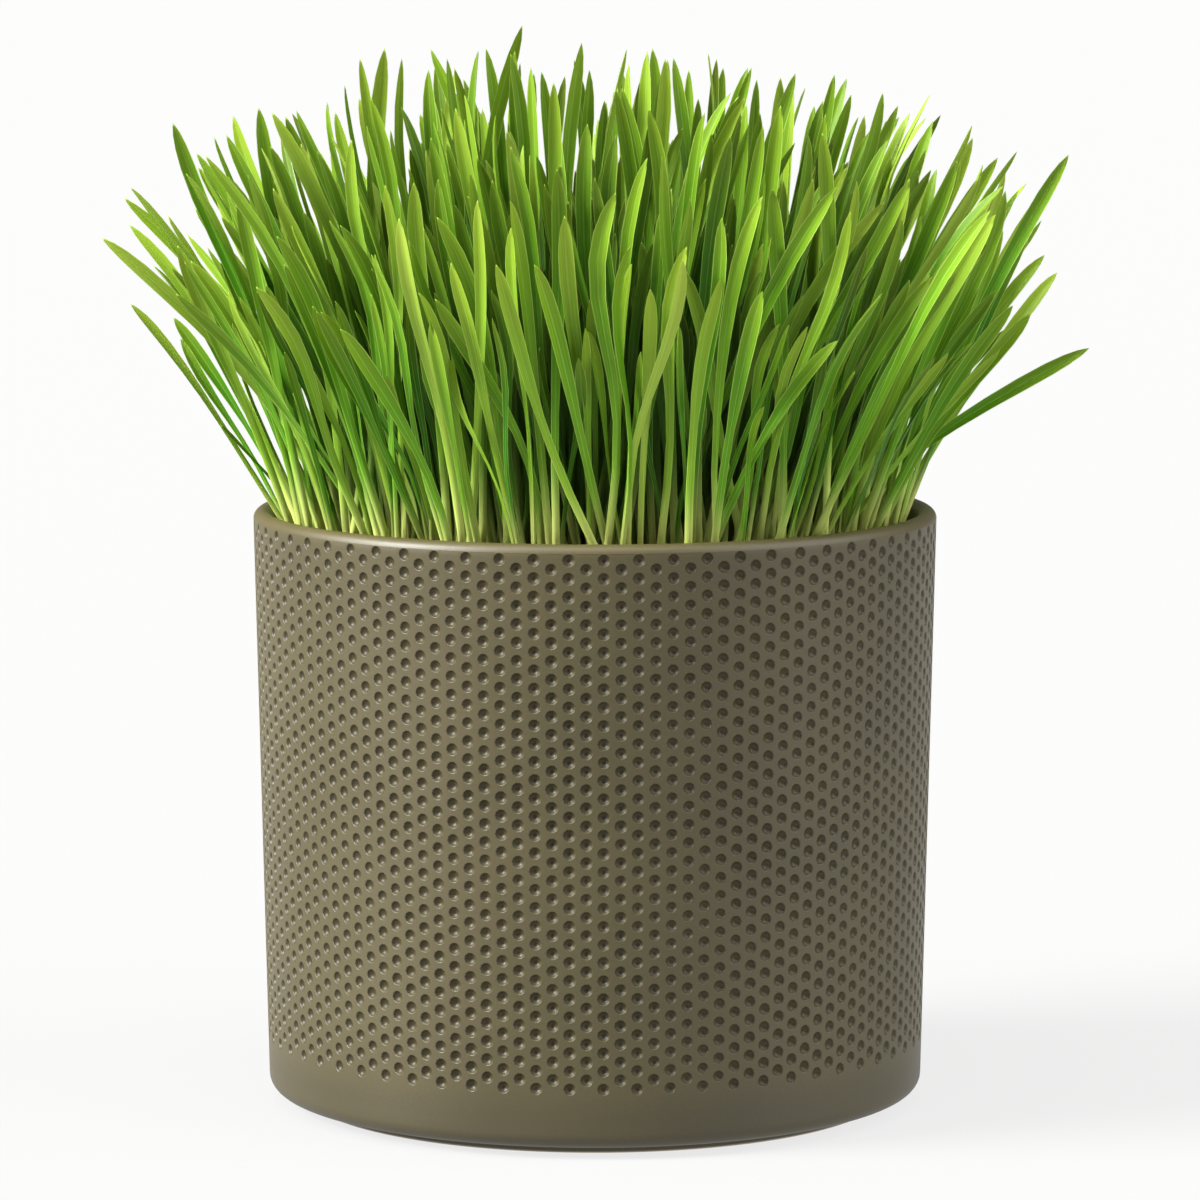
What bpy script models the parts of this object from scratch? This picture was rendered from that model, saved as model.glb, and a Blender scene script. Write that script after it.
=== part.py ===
"""Wheatgrass growing in a dimpled stoneware pot, at its real size.

Metres, +Z up. The origin is the centre of the pot's foot, on the surface that the pot stands on.
The blades that stand out in the front view are placed one by one. A seeded draw places the rest
on a sunflower spiral, drawn together in small clumps that fan out as they rise. Each blade is
checked against its neighbours, so that none cross. Blades grow in tufts: each tuft is one solid,
with the plug of grains and matted roots that it grows from.
"""

import math

import bmesh
import bpy
import numpy as np
from mathutils.bvhtree import BVHTree

# The pot, a body of revolution with a round lip, a soft bottom corner and a smaller foot
POT_HEIGHT = 0.157
RIM_RADIUS = 0.090
WALL = 0.005
WALL_TAPER = 0.0224  # radius lost for each metre down from the lip
FOOT_RADIUS = 0.077
FOOT_HEIGHT = 0.0027
OUTER_CORNER = 0.004
FLOOR_TOP = 0.0085
INNER_CORNER = 0.006
SIDES = 48

# What fills the pot: soil up to the plugs, which end a little below the lip
GAP = 0.0003
PLUG_TOP = 0.148
PLUG_DEPTH = 0.008
PLUG_RADIUS = 0.0840
TUFT_RINGS = ((1, 0.0), (6, 0.0245), (12, 0.0485), (18, 0.0725))

# Blades, each a stalk that opens into a flat leaf with a rib at its back and a pointed tip
ROOT_DEPTH = 0.004
SITES = 440
SITE_RADIUS = 0.0790
CLUMPS = 100
CLUMPING = 0.42
FAN = 17.0  # how a blade leans away from its clump, in radians for each metre from its middle
SITE_MARGIN = 0.0014
LENGTH_CENTRE = 0.132
LENGTH_EDGE = 0.106
SHORTEST = 0.65
EDGE_LEAN = math.radians(19)
LEAN_SPREAD = math.radians(8)
FRONT_REACH = 0.104
BACK_REACH = 0.122
SIDE_REACH = 0.122
WIDTH_RANGE = (0.0034, 0.0045)
BOW_RANGE = (0.02, 0.20)
FACING = math.radians(-90)
FACE_SPREAD = math.radians(42)
STALK_WIDTH = 0.0020
STALK_THICKNESS = 0.0014
RIB_THICKNESS = 0.0009
CLEARANCE = 0.0004
ATTEMPTS = 24
SEED = 11

# The point from which the front view is seen. The blades below are placed on the upright plane
# through the pot's axis, and slid along the line of sight to their own depth.
EYE = np.array((0.0, -1.600, 0.3304))

# Root across, root depth, tip across, tip height, tip depth, leaf width and bow, in millimetres.
# A negative depth is nearer the viewer. The bow is how far the middle stands inside the chord.
STANDING_OUT = (
    # Left edge
    (-67, -10, -129.5, 228, -22, 4.0, 11),
    (-71, 12, -123.5, 238.5, 20, 4.0, 12),
    (-80, -16, -113.5, 210.5, -34, 4.2, 2.5),
    (-75, 4, -110.5, 258, 0, 4.4, 4),
    (-77, -24, -109.5, 226, -44, 4.0, 1),
    (-68, 26, -104, 246.5, 40, 4.2, 9),
    (-67, 20, -88, 262, 14, 4.6, -1),
    (-66, -34, -91, 244.5, -40, 3.8, 0),
    (-73, -32, -93.5, 239, -52, 4.0, 0),
    (-64, 8, -85, 252, 4, 4.2, 4.5),
    (-61, 34, -76.5, 251.5, 44, 4.2, 5),
    (-47, 22, -73.5, 248.5, 26, 4.2, 8),
    (-55, 30, -68, 261, 36, 4.0, 4),
    (-52, 10, -61.5, 275, 6, 3.2, 3),
    (-56, 18, -55, 277.5, 20, 4.8, 3),
    # Back, over the middle
    (-50, 40, -50.5, 275, 44, 3.0, 2),
    (-17, 26, -43, 277.5, 30, 4.4, 7.5),
    (-39, 44, -36.5, 271.5, 52, 3.8, 2),
    (-31, 12, -30.5, 277, 14, 4.6, 2),
    (-23, 34, -28.5, 277.5, 40, 4.0, 3),
    (-32, 0, -19, 283.5, 4, 4.4, 7),
    (-18, 22, -16, 271, 24, 4.0, 2),
    (-12, 40, -14, 271.5, 46, 3.8, 3),
    (-4, 30, -5.5, 274.5, 34, 4.4, 3),
    (-7, 14, -1.5, 272, 12, 4.2, 2),
    (2, 46, 2.5, 264, 52, 3.8, 2),
    (6, 24, 7, 269, 22, 4.0, 2),
    (8, 52, 11.5, 267.5, 60, 4.0, 3),
    (17, 16, 15, 277.5, 18, 4.6, 3),
    (16, 38, 19, 274.5, 42, 4.2, 3),
    (24, 28, 24.5, 272, 30, 3.4, 2),
    (22, 4, 27, 264.5, 2, 3.8, 2),
    (33, 44, 33.5, 272.5, 48, 4.0, 2),
    (26, 22, 40, 272.5, 26, 4.2, 6),
    # Right edge
    (47, 32, 48.5, 270, 34, 4.6, 3),
    (50, 12, 52, 266.5, 14, 3.4, 2),
    (57, 30, 61.5, 262, 36, 4.0, 3),
    (50, 20, 67, 265.5, 22, 4.2, 6),
    (60, 12, 70.5, 260, 10, 4.4, 4),
    (66, 26, 77.5, 249, 34, 4.0, 3),
    (71, 8, 88.5, 258.5, 8, 4.2, 5),
    (72, 24, 89.5, 246, 34, 4.0, 3),
    (63, 16, 105.5, 249, 24, 4.4, 9),
    (68, 28, 106.5, 240, 44, 4.2, 6),
    (75, -2, 117.5, 240, -2, 4.2, 3.5),
    (70, 10, 118, 223.5, 14, 4.0, 3.5),
    (80, -6, 123, 216, -14, 4.2, 3.5),
    (66, -14, 130, 199, -28, 4.0, 13),
    (72, -20, 114.5, 208, -34, 4.2, 5),
    (70, -28, 103, 226.5, -44, 4.0, 6),
    # Front row
    (-52, -52, -83.5, 228.5, -76, 4.2, 3),
    (-36.5, -72, -67, 204, -102, 4.4, 5),
    (-38, -66, -47.5, 242.5, -78, 4.6, 0),
    (-50, -56, -55, 242, -68, 4.0, 2),
    (-15, -77, -42, 212, -107, 4.2, 8),
    (-24, -70, -41.5, 233.5, -90, 4.4, 7),
    (-26, -50, -36.5, 262, -62, 4.2, 5),
    (-38, -70, -21, 236, -90, 3.8, 1),
    (6, -77, -26, 221, -102, 4.0, -3),
    (5.5, -70, -16, 221, -104, 4.6, 1),
    (-10, -76, -10, 246, -96, 4.4, 2),
    (-2, -60, -2, 258, -74, 4.4, 2),
    (2, -76, 5.5, 240, -104, 4.8, 1),
    (13, -78, 11, 218.5, -108, 4.2, 3),
    (9, -72, 23, 222.5, -108, 4.2, 3),
    (17, -58, 14, 262, -76, 4.2, 2),
    (16, -64, 18, 236.5, -88, 4.2, 2),
    (41, -68, 23, 220, -96, 3.8, 1),
    (25, -77, 33, 217.5, -100, 4.4, 3.5),
    (28, -66, 35.5, 254.5, -84, 4.6, 4),
    (33, -72, 44, 239, -96, 4.2, 6),
    (30.5, -74, 44, 214, -100, 4.4, 2),
    (48, -64, 46.5, 241, -84, 4.6, 2),
    (28, -80, 64, 201, -107, 4.2, 5),
    (49, -68, 47, 217.5, -94, 4.4, 1),
    (46, -70, 75.5, 213.5, -92, 4.2, 5.5),
    (38, -60, 76, 237.5, -78, 4.2, 12),
    (60, -54, 59.5, 255.5, -62, 4.4, 2),
    (56, -56, 95, 219, -76, 4.4, 5.5),
)


def clear_scene():
    """Removes whatever objects the open file has."""
    for old in list(bpy.data.objects):
        bpy.data.objects.remove(old, do_unlink=True)


def finish_of(name, colour, roughness):
    """A non-metallic Principled material."""
    material = bpy.data.materials.new(name)
    material.use_nodes = True
    shader = material.node_tree.nodes["Principled BSDF"]
    shader.inputs["Base Color"].default_value = (*colour, 1.0)
    shader.inputs["Roughness"].default_value = roughness
    shader.inputs["Metallic"].default_value = 0.0
    return material


def object_of(name, bm, material):
    """Turns a bmesh into a linked object with its own material."""
    mesh = bpy.data.meshes.new(name)
    bm.to_mesh(mesh)
    bm.free()
    mesh.materials.append(material)
    obj = bpy.data.objects.new(name, mesh)
    bpy.context.scene.collection.objects.link(obj)
    return obj


def arc(centre, radius, start, end, steps):
    """Points on a circle in the (radius, height) plane, from one angle to another in degrees."""
    angles = np.radians(np.linspace(start, end, steps))
    return [(centre[0] + radius * math.cos(a), centre[1] + radius * math.sin(a)) for a in angles]


def turned(name, outline, material):
    """Spins an outline of (radius, height) points, which starts and ends on the axis, about Z."""
    bm = bmesh.new()
    points = [bm.verts.new((r, 0.0, z)) for r, z in outline]
    edges = [bm.edges.new(pair) for pair in zip(points, points[1:])]
    bmesh.ops.spin(
        bm, geom=points + edges, cent=(0, 0, 0), axis=(0, 0, 1), angle=2 * math.pi, steps=SIDES
    )
    bmesh.ops.remove_doubles(bm, verts=bm.verts, dist=1e-6)
    bmesh.ops.recalc_face_normals(bm, faces=bm.faces)
    obj = object_of(name, bm, material)
    obj.data.shade_smooth()
    obj.data.set_sharp_from_angle(angle=math.radians(40))
    return obj


def outer_radius(height):
    """The pot's outside radius at a height, without its lip and corner."""
    return RIM_RADIUS - WALL_TAPER * (POT_HEIGHT - height)


def inner_radius(height):
    return outer_radius(height) - WALL


def make_pot():
    """The stoneware pot: foot, rolled bottom corner, tapered wall, full round lip and floor."""
    corner_height = FOOT_HEIGHT + OUTER_CORNER
    corner = (outer_radius(corner_height) - OUTER_CORNER, corner_height)
    lip = (RIM_RADIUS - WALL / 2, POT_HEIGHT - WALL / 2)
    inside_height = FLOOR_TOP + INNER_CORNER
    inside = (inner_radius(inside_height) - INNER_CORNER, inside_height)
    outline = [(0.0, 0.0), (FOOT_RADIUS, 0.0), (FOOT_RADIUS, FOOT_HEIGHT)]
    outline += arc(corner, OUTER_CORNER, -90, 0, 4)
    outline += arc(lip, WALL / 2, 0, 180, 7)
    outline += arc(inside, INNER_CORNER, 0, -90, 3)
    outline += [(0.0, FLOOR_TOP)]
    stoneware = finish_of("stoneware_matte_glaze", (0.155, 0.140, 0.095), 0.55)
    return turned("pot", outline, stoneware)


def make_soil():
    """The potting soil, which fills the pot from its floor to the underside of the plugs."""
    bottom = FLOOR_TOP + GAP
    top = PLUG_TOP - PLUG_DEPTH - GAP
    corner_height = bottom + INNER_CORNER
    corner = (inner_radius(corner_height) - GAP - INNER_CORNER, corner_height)
    outline = [(0.0, bottom)]
    outline += arc(corner, INNER_CORNER, -90, 0, 3)
    outline += [(inner_radius(top) - GAP, top), (0.0, top)]
    return turned("soil", outline, finish_of("potting_soil", (0.030, 0.018, 0.010), 0.95))


def tuft_centres():
    """One tuft in the middle, with rings of tufts around it."""
    centres = []
    for count, radius in TUFT_RINGS:
        for i in range(count):
            angle = 2 * math.pi * (i + 0.5) / count
            centres.append((radius * math.cos(angle), radius * math.sin(angle)))
    return np.array(centres)


def clipped(outline, point, normal):
    """The part of a convex outline that lies behind the line through point across normal."""
    kept = []
    for a, b in zip(outline, np.roll(outline, -1, axis=0)):
        da, db = np.dot(a - point, normal), np.dot(b - point, normal)
        if da <= 0:
            kept.append(a)
        if da * db < 0:
            kept.append(a + (b - a) * da / (da - db))
    return np.array(kept)


def plug_outline(index, centres):
    """The part of the pot's mouth that is nearer to this tuft than to any other, less a gap."""
    angles = np.radians(np.arange(0, 360, 6))
    outline = PLUG_RADIUS * np.column_stack((np.cos(angles), np.sin(angles)))
    for other in np.delete(centres, index, axis=0):
        away = (other - centres[index]) / np.linalg.norm(other - centres[index])
        outline = clipped(outline, (other + centres[index]) / 2 - away * GAP / 2, away)
    return outline


def make_plug(name, outline, material):
    """A plug of grains and matted roots: the outline, extruded up to its flat top."""
    bm = bmesh.new()
    bottom = PLUG_TOP - PLUG_DEPTH
    base = bm.faces.new([bm.verts.new((x, y, bottom)) for x, y in outline])
    raised = bmesh.ops.extrude_face_region(bm, geom=[base])["geom"]
    top_points = [v for v in raised if isinstance(v, bmesh.types.BMVert)]
    bmesh.ops.translate(bm, verts=top_points, vec=(0, 0, PLUG_DEPTH))
    bmesh.ops.recalc_face_normals(bm, faces=bm.faces)
    return object_of(name, bm, material)


# A blade's rings: how far along it each stands, its half width as a share of the leaf's width,
# and its thickness. The last ring is the tip, a single point.
RING_PLACES = np.array((0.0, 0.38, 0.66, 0.90, 1.0))
RING_WIDTHS = np.array((0.0, 0.26, 0.45, 0.41, 0.0))


def blade_points(blade, extra=0.0):
    """Three points around each ring of a blade: left edge, right edge and the rib behind them.

    The middle line is a quadratic curve from the root through the bend to the tip. Each ring
    lies across it, and extra makes the blade that much thicker and wider on all sides.
    """
    t = RING_PLACES[:, None]
    root, bend, tip = blade["root"], blade["bend"], blade["tip"]
    middle = (1 - t) ** 2 * root + 2 * t * (1 - t) * bend + t**2 * tip
    along = 2 * (1 - t) * (bend - root) + 2 * t * (tip - bend)
    along /= np.linalg.norm(along, axis=1, keepdims=True)
    face = np.array((math.cos(blade["facing"]), math.sin(blade["facing"]), 0.0))
    across = np.cross(along, face)
    across /= np.linalg.norm(across, axis=1, keepdims=True)
    out = np.cross(across, along)
    half = np.maximum(RING_WIDTHS * blade["width"], STALK_WIDTH / 2 * (t[:, 0] < 0.5))
    thick = np.where(t[:, 0] < 0.2, STALK_THICKNESS, RIB_THICKNESS)
    half, depth = (half + extra)[:, None], (thick / 2 + extra)[:, None]
    left = middle - across * half + out * depth
    right = middle + across * half + out * depth
    return np.stack((left, right, middle - out * depth), axis=1)


def blade_shell(blade, extra=0.0):
    """Points and faces of one closed blade."""
    rings = blade_points(blade, extra)[:-1]
    points = [tuple(p) for p in rings.reshape(-1, 3)] + [tuple(blade["tip"])]
    faces = [(2, 1, 0)]
    for ring in range(len(rings) - 1):
        for i in range(3):
            a, b = 3 * ring + i, 3 * ring + (i + 1) % 3
            faces.append((a, b, b + 3, a + 3))
    last = 3 * (len(rings) - 1)
    faces += [(last + i, last + (i + 1) % 3, last + 3) for i in range(3)]
    return points, faces


def bent_blade(root, tip, width, bow, bow_way, facing):
    """A blade whose middle is pushed off its chord by bow, along bow_way."""
    return {
        "root": root,
        "bend": (root + tip) / 2 + bow_way * bow,
        "tip": tip,
        "width": width,
        "facing": facing,
    }


def seen_at(across, height, depth):
    """A point of the front view, on the upright plane through the axis, at its own depth."""
    on_plane = np.array((across, 0.0, height))
    return EYE + (on_plane - EYE) * (depth - EYE[1]) / -EYE[1]


def placed_blade(row, shift, rng):
    """A blade of STANDING_OUT, slid in depth by shift."""
    root_x, root_y, tip_x, tip_z, tip_y, width, bow = (value * 0.001 for value in row)
    root = seen_at(root_x, PLUG_TOP, root_y + shift)
    root[2] = PLUG_TOP - ROOT_DEPTH
    tip = seen_at(tip_x, tip_z, tip_y + 1.6 * shift)
    lean = np.array((np.sign(root_x - tip_x), 0.25, 0.0))
    facing = FACING + rng.normal(0, FACE_SPREAD / 2)
    return bent_blade(root, tip, width, 2 * bow, lean, facing)


def drawn_blade(site, away, calm, rng):
    """A blade at a site: it leans out with its distance from the pot's middle and its clump's.

    Calm, from 0 to 1, shrinks the draw, so that a later attempt keeps closer to its neighbours.
    """
    reach = np.hypot(*site)
    out = np.array((*site, 0.0)) / max(reach, 1e-6)
    side = np.array((-out[1], out[0], 0.0))
    share = reach / SITE_RADIUS
    spread = LEAN_SPREAD * (1 - 0.8 * calm)
    lean = EDGE_LEAN * share**1.4 + rng.normal(0, spread)
    sway = rng.normal(0, spread)
    length = LENGTH_CENTRE + (LENGTH_EDGE - LENGTH_CENTRE) * share**2
    length *= SHORTEST + (1 - SHORTEST) * rng.uniform() ** 0.7
    way = out * math.sin(lean) + side * math.sin(sway)
    way += np.array((*(FAN * away), math.cos(lean)))
    root = np.array((*site, PLUG_TOP - ROOT_DEPTH))
    tip = root + way * (length + ROOT_DEPTH)
    tip[0] = min(max(tip[0], -SIDE_REACH), SIDE_REACH)
    tip[1] = min(max(tip[1], -FRONT_REACH), BACK_REACH)
    turn = rng.uniform(0, 2 * math.pi)
    loose = np.array((math.cos(turn), math.sin(turn), 0.0))
    bow_way = -out * share + loose * (1 - share)
    facing = FACING + rng.normal(0, FACE_SPREAD)
    width = rng.uniform(*WIDTH_RANGE)
    bow = rng.uniform(*BOW_RANGE) * length
    return bent_blade(root, tip, width, bow, bow_way, facing)


def clears_lip(blade):
    """Whether the stalk stays inside the lip until it is above it."""
    t = np.linspace(0, 0.4, 21)[:, None]
    root, bend, tip = blade["root"], blade["bend"], blade["tip"]
    middle = (1 - t) ** 2 * root + 2 * t * (1 - t) * bend + t**2 * tip
    inside = inner_radius(POT_HEIGHT) - STALK_WIDTH / 2 - GAP
    low = middle[:, 2] < POT_HEIGHT + GAP
    return np.all(np.hypot(middle[low, 0], middle[low, 1]) < inside)


class Standing:
    """The blades that stand already, with their boxes in one array for a quick first test."""

    def __init__(self):
        self.blades = []
        self.trees = []
        self.boxes = np.empty((4000, 6))

    def clears(self, blade):
        """Whether a blade, made fatter by the clearance, touches none of them."""
        points, faces = blade_shell(blade, CLEARANCE)
        low, high = np.min(points, axis=0), np.max(points, axis=0)
        boxes = self.boxes[: len(self.blades)]
        near = np.all(low < boxes[:, 3:], axis=1) & np.all(high > boxes[:, :3], axis=1)
        tree = BVHTree.FromPolygons(points, faces)
        return not any(tree.overlap(self.trees[i]) for i in np.flatnonzero(near))

    def add(self, blade, tuft):
        points, faces = blade_shell(blade)
        blade["tuft"] = tuft
        low, high = np.min(points, axis=0), np.max(points, axis=0)
        self.boxes[len(self.blades)] = (*low, *high)
        self.trees.append(BVHTree.FromPolygons(points, faces))
        self.blades.append(blade)


def tuft_of(blade, centres):
    """The tuft that a blade grows in, and how far its stalk stands inside that tuft's plug."""
    root, bend = blade["root"], blade["bend"]
    emerging = root + (bend - root) * ROOT_DEPTH / (bend[2] - root[2])
    first, inside = None, math.inf
    for point in (root, emerging):
        away = np.linalg.norm(centres - point[:2], axis=1)
        if first is None:
            first = np.argmin(away)
        for other in np.flatnonzero(np.arange(len(centres)) != first):
            between = np.linalg.norm(centres[other] - centres[first])
            inside = min(inside, (away[other] ** 2 - away[first] ** 2) / (2 * between))
    return first, inside


def spiral_sites(count, turn):
    """Even places over the plugs: each a golden angle further round than the one before."""
    golden = math.pi * (3 - math.sqrt(5))
    k = np.arange(count)
    radius, angle = SITE_RADIUS * np.sqrt((k + 0.5) / count), turn + k * golden
    return np.column_stack((radius * np.cos(angle), radius * np.sin(angle)))


def clumped_sites(count, turn):
    """Even places, each drawn in towards the middle of its clump, and how far off it they were."""
    places, middles = spiral_sites(count, turn), spiral_sites(CLUMPS, 1.0)
    apart = np.linalg.norm(places[:, None] - middles, axis=2)
    nearest = middles[np.argmin(apart, axis=1)]
    away = places - nearest
    return zip(nearest + (1 - CLUMPING) * away, away)


def grow(tries, centres, standing):
    """Stands the first blade of tries that has room, if any has."""
    for blade in tries:
        tuft, inside = tuft_of(blade, centres)
        if inside > SITE_MARGIN and clears_lip(blade) and standing.clears(blade):
            standing.add(blade, tuft)
            return


def placed_tries(row, rng):
    """A blade of STANDING_OUT at its own depth, then slid further and further from it."""
    for attempt in range(ATTEMPTS):
        shift = 0.0015 * ((attempt + 1) // 2) * (-1) ** attempt
        yield placed_blade(row, shift, rng)


def drawn_tries(site, away, draw, attempts, rng):
    """Blades drawn near a site, each calmer than the one before."""
    for attempt in range(attempts):
        yield draw(site + rng.normal(0, 0.0010, 2), away, attempt / attempts, rng)


def grow_blades(centres):
    """All blades: those that stand out first, then one for each site that has room."""
    rng = np.random.default_rng(SEED)
    standing = Standing()
    for row in STANDING_OUT:
        grow(placed_tries(row, rng), centres, standing)
    for site, away in clumped_sites(SITES, 0):
        grow(drawn_tries(site, away, drawn_blade, ATTEMPTS, rng), centres, standing)
    return standing


def make_tuft(number, outline, blades, material):
    """One tuft: a plug with its blades joined to it by one Boolean union."""
    plug = make_plug(f"tuft_{number:02d}", outline, material)
    group = bpy.data.collections.new(f"blades_{number:02d}")
    bpy.context.scene.collection.children.link(group)
    for blade in blades:
        mesh = bpy.data.meshes.new("blade")
        points, faces = blade_shell(blade)
        mesh.from_pydata(points, [], faces)
        group.objects.link(bpy.data.objects.new("blade", mesh))
    union = plug.modifiers.new("Join blades", "BOOLEAN")
    union.operation = "UNION"
    union.operand_type = "COLLECTION"
    union.collection = group
    union.solver = "MANIFOLD"
    bpy.context.view_layer.objects.active = plug
    bpy.ops.object.modifier_apply(modifier=union.name)
    for blade in list(group.objects):
        bpy.data.objects.remove(blade, do_unlink=True)
    bpy.data.collections.remove(group)
    return plug


def main():
    clear_scene()
    make_pot()
    make_soil()
    leaf = finish_of("wheatgrass_leaf", (0.125, 0.330, 0.035), 0.45)
    centres = tuft_centres()
    blades = grow_blades(centres).blades
    for index in range(len(centres)):
        mine = [blade for blade in blades if blade["tuft"] == index]
        make_tuft(index + 1, plug_outline(index, centres), mine, leaf)


main()
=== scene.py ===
"""Wheatgrass in a dimpled stoneware pot, in a plain studio. Metres, +Z up, origin at the pot's foot."""

import math

import bpy
import numpy as np
from mathutils.bvhtree import BVHTree
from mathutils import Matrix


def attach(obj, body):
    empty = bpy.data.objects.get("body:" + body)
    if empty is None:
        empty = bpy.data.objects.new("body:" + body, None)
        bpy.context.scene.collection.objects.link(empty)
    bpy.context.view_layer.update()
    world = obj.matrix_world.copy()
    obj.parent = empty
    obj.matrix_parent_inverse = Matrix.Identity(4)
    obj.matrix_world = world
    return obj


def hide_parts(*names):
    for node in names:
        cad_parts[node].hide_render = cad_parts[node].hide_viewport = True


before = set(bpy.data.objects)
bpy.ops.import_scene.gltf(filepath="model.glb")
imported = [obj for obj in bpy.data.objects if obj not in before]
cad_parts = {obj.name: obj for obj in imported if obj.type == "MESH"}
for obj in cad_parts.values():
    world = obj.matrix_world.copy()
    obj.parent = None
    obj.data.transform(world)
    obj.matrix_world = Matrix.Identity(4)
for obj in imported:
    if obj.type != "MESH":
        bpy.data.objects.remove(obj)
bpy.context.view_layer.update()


# The camera stands 1.6 m in front of the pot's axis and looks slightly down at it.
# The axis is 5 pixels left of the middle of the 1200 pixel frame.
EYE = np.array((0.0, -1.600, 0.3304))
LOOKING_DOWN = math.radians(7.06)
FOCAL_PIXELS = 6102
FRAME_PIXELS = 1200
AXIS_SHIFT_PIXELS = 5

camera = bpy.data.objects.new("camera", bpy.data.cameras.new("camera"))
bpy.context.scene.collection.objects.link(camera)
camera.location = EYE
camera.rotation_euler = (math.pi / 2 - LOOKING_DOWN, 0, 0)
camera.data.sensor_width = 36
camera.data.lens = 36 * FOCAL_PIXELS / FRAME_PIXELS
camera.data.shift_x = AXIS_SHIFT_PIXELS / FRAME_PIXELS
camera.data.clip_end = 100
bpy.context.scene.camera = camera


# A white studio: a wide pale floor under even light from all round. A broad, soft key light
# stands high on the left, a weaker one on the right, and a third hangs nearly overhead.
FLOOR_COLOUR = "#444443"
FLOOR_GLOW = 0.78
FLOOR_REACH = 30.0
ROOM_COLOUR = "#ffffff"
ROOM_STRENGTH = 0.17
# Each light's strength, the angle that it fills, and its turn about X, Y and Z
LIGHTS = {
    "key_light": (9.8, math.radians(28), (math.radians(57), 0, math.radians(-74))),
    "right_light": (2.6, math.radians(60), (math.radians(58), 0, math.radians(74))),
    "top_light": (2.6, math.radians(50), (math.radians(14), 0, math.radians(-30))),
}


def linear(colour):
    """An sRGB hex colour as linear red, green, blue and alpha."""
    values = np.array([int(colour[i : i + 2], 16) for i in (1, 3, 5)]) / 255
    curved = ((values + 0.055) / 1.055) ** 2.4
    return (*np.where(values <= 0.04045, values / 12.92, curved), 1.0)


def feed(tree, node, inputs):
    """Sets each input of a node to its value, or links it to the output that feeds it."""
    for key, value in inputs.items():
        if isinstance(value, bpy.types.NodeSocket):
            tree.links.new(value, node.inputs[key])
        else:
            node.inputs[key].default_value = value


def add(tree, kind, inputs=None, **settings):
    """Adds a node with its settings, and feeds its inputs."""
    new = tree.nodes.new("ShaderNode" + kind)
    for name, value in settings.items():
        setattr(new, name, value)
    feed(tree, new, inputs or {})
    return new


def ranged(tree, value, start, end, low, high, eased=False):
    """A value that goes from start to end, brought to go from low to high."""
    sockets = {"Value": value, "From Min": start, "From Max": end, "To Min": low, "To Max": high}
    kind = "SMOOTHSTEP" if eased else "LINEAR"
    return add(tree, "MapRange", sockets, interpolation_type=kind).outputs[0]


def mixed(tree, share, first, second):
    """The first colour at share 0, the second at share 1."""
    return add(tree, "Mix", {0: share, 6: first, 7: second}, data_type="RGBA").outputs[2]


def toned(tree, value, places, colours):
    """Colours in a row, each at its place between 0 and 1, picked by a value."""
    node = add(tree, "ValToRGB", {"Fac": value})
    stops = node.color_ramp.elements
    stops[0].position, stops[0].color = places[0], linear(colours[0])
    stops[1].position, stops[1].color = places[-1], linear(colours[-1])
    for place, colour in zip(places[1:-1], colours[1:-1]):
        stops.new(place).color = linear(colour)
    return node.outputs["Color"]


def new_material(name):
    """A material with only its Principled shader and output, and its node tree."""
    material = bpy.data.materials.new(name)
    material.use_nodes = True
    return material, material.node_tree, material.node_tree.nodes["Principled BSDF"]


def mesh_object(name, points, faces, material):
    """A smooth-shaded object at the origin, from arrays of points and faces."""
    mesh = bpy.data.meshes.new(name)
    mesh.from_pydata(points, [], faces)
    mesh.shade_smooth()
    mesh.materials.append(material)
    obj = bpy.data.objects.new(name, mesh)
    bpy.context.scene.collection.objects.link(obj)
    return obj


def store(obj, name, values):
    """Keeps one number for each point, which a material reads by name."""
    layer = obj.data.attributes.new(name, "FLOAT", "POINT")
    layer.data.foreach_set("value", np.ascontiguousarray(values, dtype=np.float32))


world = bpy.data.worlds.new("white_room")
world.use_nodes = True
bpy.context.scene.world = world
background = world.node_tree.nodes["Background"]
background.inputs["Color"].default_value = linear(ROOM_COLOUR)
background.inputs["Strength"].default_value = ROOM_STRENGTH

for name, (strength, angle, tilt) in LIGHTS.items():
    light = bpy.data.objects.new(name, bpy.data.lights.new(name, "SUN"))
    bpy.context.scene.collection.objects.link(light)
    light.data.energy = strength
    light.data.angle = angle
    light.rotation_euler = tilt
bpy.context.scene.view_settings.view_transform = "Standard"

floor_material, tree, shader = new_material("pale_floor")
feed(
    tree, shader,
    {"Base Color": linear(FLOOR_COLOUR), "Roughness": 0.9, "Specular IOR Level": 0.1,
     "Emission Color": linear(ROOM_COLOUR), "Emission Strength": FLOOR_GLOW},
)
corners = FLOOR_REACH * np.array(((-1, -1, 0), (1, -1, 0), (1, 1, 0), (-1, 1, 0)))
mesh_object("floor", corners, [(0, 1, 2, 3)], floor_material)


# The pot: thick stoneware with straight, slightly tapered sides, a full round lip and a small
# recessed foot. Staggered columns of small round dimples are pressed into the sides, from just
# under the lip to a smooth band above the foot. Painted shade darkens the matte olive glaze in them.
POT_HEIGHT = 0.157
RIM_RADIUS = 0.090
WALL = 0.005
WALL_TAPER = 0.0224
FOOT_RADIUS = 0.077
FOOT_HEIGHT = 0.0027
FOOT_BEVEL = 0.0004
OUTER_CORNER = 0.004
FLOOR_TOP = 0.0085
INNER_CORNER = 0.006
FLAT_RING = 0.040  # a ring of points on the flat floor and on the flat foot
COLUMNS = 128
TOP_DIMPLE = 0.1532
DIMPLE_PITCH = 0.004648
DIMPLES_HIGH = 30
DIMPLED_TOP = 0.15485
DIMPLE_RADIUS = 0.00170
DIMPLE_DEPTH = 0.00104
DIMPLE_SIDES = 10
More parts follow.
